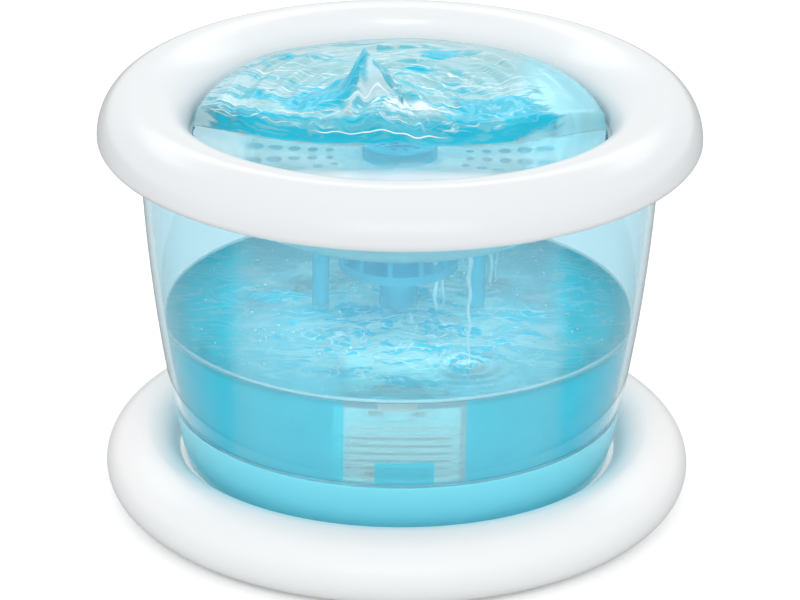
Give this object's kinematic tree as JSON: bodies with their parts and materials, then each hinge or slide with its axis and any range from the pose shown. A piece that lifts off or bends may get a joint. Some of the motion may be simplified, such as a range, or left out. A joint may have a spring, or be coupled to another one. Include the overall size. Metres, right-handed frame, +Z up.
{
  "type": "pet water fountain",
  "caption": "Round pet water fountain: clear blue tank on a white spill tray, rolled white top ring, perforated drinking bowl with a central nozzle, fed by a submersible pump.",
  "frame": {"origin": "on the table, at the centre of the fountain (the common axis of tray, tank, bowl and ring)", "axes": "+Z up along the fountain's axis; -Y is the front, where the pump's intake grille faces; the cord notch is at +Y"},
  "size_m": [0.23, 0.23, 0.1656],
  "materials": {
    "white_shell": "polished",
    "clear_blue": "clear, light blue tint",
    "soft_rubber": "matte",
    "silicone": "satin, milky",
    "pump_grey": "satin",
    "core_steel": "laminated",
    "coil_wire": "enamelled wire",
    "resin": "cast",
    "ceramic": "ground",
    "magnet": "sintered",
    "impeller_plastic": "moulded",
    "foam": "open-cell foam",
    "carbon": "fibre pad with carbon",
    "filter_cover_light": "satin",
    "slider_light": "satin",
    "water": "clear water, drawn only in the visual model"
  },
  "bodies": {
    "base": {"base_tray": "white_shell", "rubber_feet": "soft_rubber"},
    "tank": {"tank_shell": "clear_blue", "pump_housing": "pump_grey", "suction_cups": "silicone", "stator_core": "core_steel", "coil_winding": "coil_wire", "potting_resin": "resin", "cable_gland": "soft_rubber", "outlet_seal": "silicone", "ceramic_shaft": "ceramic", "rear_bush": "soft_rubber"},
    "bowl": {"drinking_bowl": "clear_blue", "bowl_seal": "silicone", "support_frame": "clear_blue", "riser_tube": "clear_blue", "nozzle_body": "clear_blue"},
    "cap": {"nozzle_cap": "clear_blue"},
    "ring": {"top_ring": "white_shell"},
    "rotor": {"rotor_magnet": "magnet", "impeller": "impeller_plastic"},
    "chamber_front": {"chamber_cover": "pump_grey", "chamber_oring": "soft_rubber", "front_bush": "soft_rubber"},
    "carbon": {"carbon_pad": "carbon"},
    "foam": {"foam_filter": "foam"},
    "cover": {"filter_cover": "filter_cover_light"},
    "slider": {"flow_slider": "slider_light"}
  },
  "joints": [
    {"name": "tank_lift", "type": "slide", "parent": "base", "child": "tank", "axis": [0, 0, 1], "range_m": [0, 0.12]},
    {"name": "bowl_lift", "type": "slide", "parent": "tank", "child": "bowl", "axis": [0, 0, 1], "range_m": [0, 0.13]},
    {"name": "ring_lift", "type": "slide", "parent": "bowl", "child": "ring", "axis": [0, 0, 1], "range_m": [0, 0.06]},
    {"name": "cap_lift", "type": "slide", "parent": "bowl", "child": "cap", "axis": [0, 0, 1], "range_m": [0, 0.03]},
    {"name": "impeller_spin", "type": "hinge", "parent": "tank", "child": "rotor", "pos_m": [0, 0, 0.0433], "axis": [0, 1, 0], "continuous": true},
    {"name": "filter_cover_pull", "type": "slide", "parent": "tank", "child": "cover", "axis": [0, -1, 0], "range_m": [0, 0.034]},
    {"name": "foam_pull", "type": "slide", "parent": "tank", "child": "foam", "axis": [0, -1, 0], "range_m": [0, 0.02244]},
    {"name": "carbon_pull", "type": "slide", "parent": "tank", "child": "carbon", "axis": [0, -1, 0], "range_m": [0, 0.0153]},
    {"name": "chamber_cover_pull", "type": "slide", "parent": "tank", "child": "chamber_front", "axis": [0, -1, 0], "range_m": [0, 0.0068]},
    {"name": "flow_slide", "type": "slide", "parent": "cover", "child": "slider", "axis": [1, 0, 0], "range_m": [-0.006, 0.006]}
  ],
  "couplings": [
    {"joint": "foam_pull", "follows": "filter_cover_pull", "ratio": 0.66},
    {"joint": "carbon_pull", "follows": "filter_cover_pull", "ratio": 0.45},
    {"joint": "chamber_cover_pull", "follows": "filter_cover_pull", "ratio": 0.2}
  ]
}
